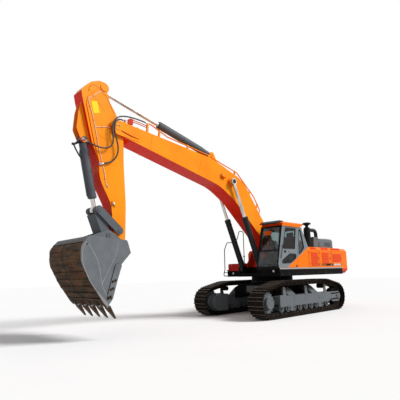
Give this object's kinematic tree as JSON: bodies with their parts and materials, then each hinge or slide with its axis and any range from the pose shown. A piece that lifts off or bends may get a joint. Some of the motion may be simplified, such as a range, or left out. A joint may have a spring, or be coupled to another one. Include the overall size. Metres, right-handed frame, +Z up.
{
  "type": "crawler excavator",
  "caption": "Large crawler excavator with cab, boom, arm and bucket; the house slews on two steel tracks and hydraulic cylinders move the digging gear.",
  "frame": {"origin": "on the ground, on the slewing axis", "axes": "+X forward along the boom, +Y to the cab's side, +Z up"},
  "size_m": [12.0702, 3.21, 6.84],
  "materials": {
    "orange_paint": "glossy orange paint",
    "red_paint": "glossy red paint",
    "grey_paint": "satin dark grey paint",
    "black_paint": "satin black paint, dusty",
    "engine_paint": "cast engine block, grey",
    "track_steel": "dark worn steel with soil in the corners",
    "bucket_steel": "grey paint, worn to brown steel",
    "chrome_rod": "polished hard chrome",
    "black_plastic": "matt black",
    "cab_glass": "lightly tinted glass",
    "seat_fabric": "dark red and black seat cloth",
    "hose_rubber": "black hose"
  },
  "bodies": {
    "undercarriage": {"car_body": "black_paint", "slew_ring": "black_paint", "side_frame_left": "grey_paint", "side_frame_right": "grey_paint", "track_left": "track_steel", "track_right": "track_steel", "sprockets": "grey_paint", "idlers": "track_steel", "track_rollers": "grey_paint", "carrier_rollers": "track_steel", "motor_guards": "grey_paint"},
    "house": {"main_frame": "black_paint", "counterweight": "orange_paint", "cab_shell": "grey_paint", "cab_roof": "orange_paint", "cab_visor": "black_plastic", "cab_seat": "seat_fabric", "cab_glass": "cab_glass", "engine_block": "engine_paint", "left_housing": "orange_paint", "pump_housing": "orange_paint", "right_tanks": "orange_paint", "centre_cover": "grey_paint", "air_cleaner": "black_plastic", "intake_pipe": "black_plastic", "toolbox": "red_paint", "handrail": "grey_paint"},
    "cab_door": {"cab_door": "grey_paint", "door_glass": "cab_glass"},
    "engine_hood": {"engine_hood": "grey_paint"},
    "left_door_front": {"left_door_front": "orange_paint"},
    "left_door_middle": {"left_door_middle": "orange_paint"},
    "left_door_rear": {"left_door_rear": "orange_paint"},
    "right_door": {"right_door": "orange_paint"},
    "toolbox_lid": {"toolbox_lid": "red_paint"},
    "boom": {"boom": "orange_paint", "arm_hose": "hose_rubber", "link_hose": "hose_rubber"},
    "boom_cylinder_barrels": {"boom_cylinder_barrel_left": "grey_paint", "boom_cylinder_barrel_right": "grey_paint"},
    "boom_cylinder_rods": {"boom_cylinder_rod_left": "chrome_rod", "boom_cylinder_rod_right": "chrome_rod"},
    "arm_cylinder_barrel": {"arm_cylinder_barrel": "grey_paint"},
    "arm_cylinder_rod": {"arm_cylinder_rod": "chrome_rod"},
    "arm": {"arm": "orange_paint"},
    "bucket_cylinder_barrel": {"bucket_cylinder_barrel": "grey_paint"},
    "bucket_cylinder_rod": {"bucket_cylinder_rod": "chrome_rod"},
    "guide_links": {"guide_links": "grey_paint"},
    "bucket_link": {"bucket_link": "grey_paint"},
    "bucket": {"bucket": "bucket_steel", "bucket_teeth": "bucket_steel"}
  },
  "joints": [
    {"name": "slew", "type": "hinge", "parent": "undercarriage", "child": "house", "pos_m": [0, 0, 1.23], "axis": [0, 0, 1], "continuous": true},
    {"name": "boom_lift", "type": "hinge", "parent": "house", "child": "boom", "pos_m": [0.3, 0, 2.5], "axis": [0, -1, 0], "range_deg": [-54, 29]},
    {"name": "boom_barrel_swing", "type": "hinge", "parent": "house", "child": "boom_cylinder_barrels", "pos_m": [1.2, 0, 1.65], "axis": [0, -1, 0], "range_deg": [-52, 28]},
    {"name": "boom_rod_slide", "type": "slide", "parent": "boom_cylinder_barrels", "child": "boom_cylinder_rods", "axis": [0.3972, 0, 0.9177], "range_m": [-1.09, 0.59]},
    {"name": "arm_swing", "type": "hinge", "parent": "boom", "child": "arm", "pos_m": [7.07, 0, 5.62], "axis": [0, 1, 0], "range_deg": [-90, 24], "deforming": ["arm_hose", "link_hose"]},
    {"name": "arm_barrel_swing", "type": "hinge", "parent": "boom", "child": "arm_cylinder_barrel", "pos_m": [3.25, 0, 5.6], "axis": [0, 1, 0], "range_deg": [-2, 1]},
    {"name": "arm_rod_slide", "type": "slide", "parent": "arm_cylinder_barrel", "child": "arm_cylinder_rod", "axis": [0.9689, 0, 0.2474], "range_m": [-1.55, 0.42]},
    {"name": "bucket_curl", "type": "hinge", "parent": "arm", "child": "bucket", "pos_m": [6.9, 0, 2.285], "axis": [0, 1, 0], "range_deg": [-6, 150]},
    {"name": "guide_links_swing", "type": "hinge", "parent": "arm", "child": "guide_links", "pos_m": [6.96, 0, 2.72], "axis": [0, 1, 0], "range_deg": [-5, 103]},
    {"name": "bucket_link_swing", "type": "hinge", "parent": "bucket", "child": "bucket_link", "pos_m": [7.3, 0, 2.58], "axis": [0, 1, 0], "range_deg": [-105, 5]},
    {"name": "bucket_barrel_swing", "type": "hinge", "parent": "arm", "child": "bucket_cylinder_barrel", "pos_m": [7.965, 0, 5.13], "axis": [0, 1, 0], "range_deg": [-6, 0.5]},
    {"name": "bucket_rod_slide", "type": "slide", "parent": "bucket_cylinder_barrel", "child": "bucket_cylinder_rod", "axis": [-0.2056, 0, -0.9786], "range_m": [-0.06, 1.27]},
    {"name": "cab_door_swing", "type": "hinge", "parent": "house", "child": "cab_door", "pos_m": [0.445, 1.4725, 2.3], "axis": [0, 0, 1], "range_deg": [0, 95]},
    {"name": "engine_hood_lift", "type": "hinge", "parent": "house", "child": "engine_hood", "pos_m": [-2.85, 0, 2.4203], "axis": [0, -1, 0], "range_deg": [0, 60]},
    {"name": "left_door_front_swing", "type": "hinge", "parent": "house", "child": "left_door_front", "pos_m": [-0.429, 1.4775, 2], "axis": [0, 0, -1], "range_deg": [0, 100]},
    {"name": "left_door_middle_swing", "type": "hinge", "parent": "house", "child": "left_door_middle", "pos_m": [-1.129, 1.4775, 2], "axis": [0, 0, -1], "range_deg": [0, 100]},
    {"name": "left_door_rear_swing", "type": "hinge", "parent": "house", "child": "left_door_rear", "pos_m": [-2.019, 1.4775, 2], "axis": [0, 0, -1], "range_deg": [0, 100]},
    {"name": "right_door_swing", "type": "hinge", "parent": "house", "child": "right_door", "pos_m": [-1.809, -1.4775, 2], "axis": [0, 0, 1], "range_deg": [0, 100]},
    {"name": "toolbox_lid_lift", "type": "hinge", "parent": "house", "child": "toolbox_lid", "pos_m": [0.38, -1, 1.7903], "axis": [0, -1, 0], "range_deg": [0, 80]}
  ],
  "couplings": [
    {"joint": "boom_barrel_swing", "follows": "boom_lift", "ratio": 0.9456},
    {"joint": "boom_rod_slide", "follows": "boom_lift", "m_per_rad": 1.154},
    {"joint": "arm_barrel_swing", "follows": "arm_swing", "ratio": 0.0142},
    {"joint": "arm_rod_slide", "follows": "arm_swing", "m_per_rad": 0.9791},
    {"joint": "guide_links_swing", "follows": "bucket_curl", "ratio": 0.6796},
    {"joint": "bucket_link_swing", "follows": "bucket_curl", "ratio": -0.6951},
    {"joint": "bucket_barrel_swing", "follows": "bucket_curl", "ratio": -0.0357},
    {"joint": "bucket_rod_slide", "follows": "bucket_curl", "m_per_rad": 0.4779}
  ]
}
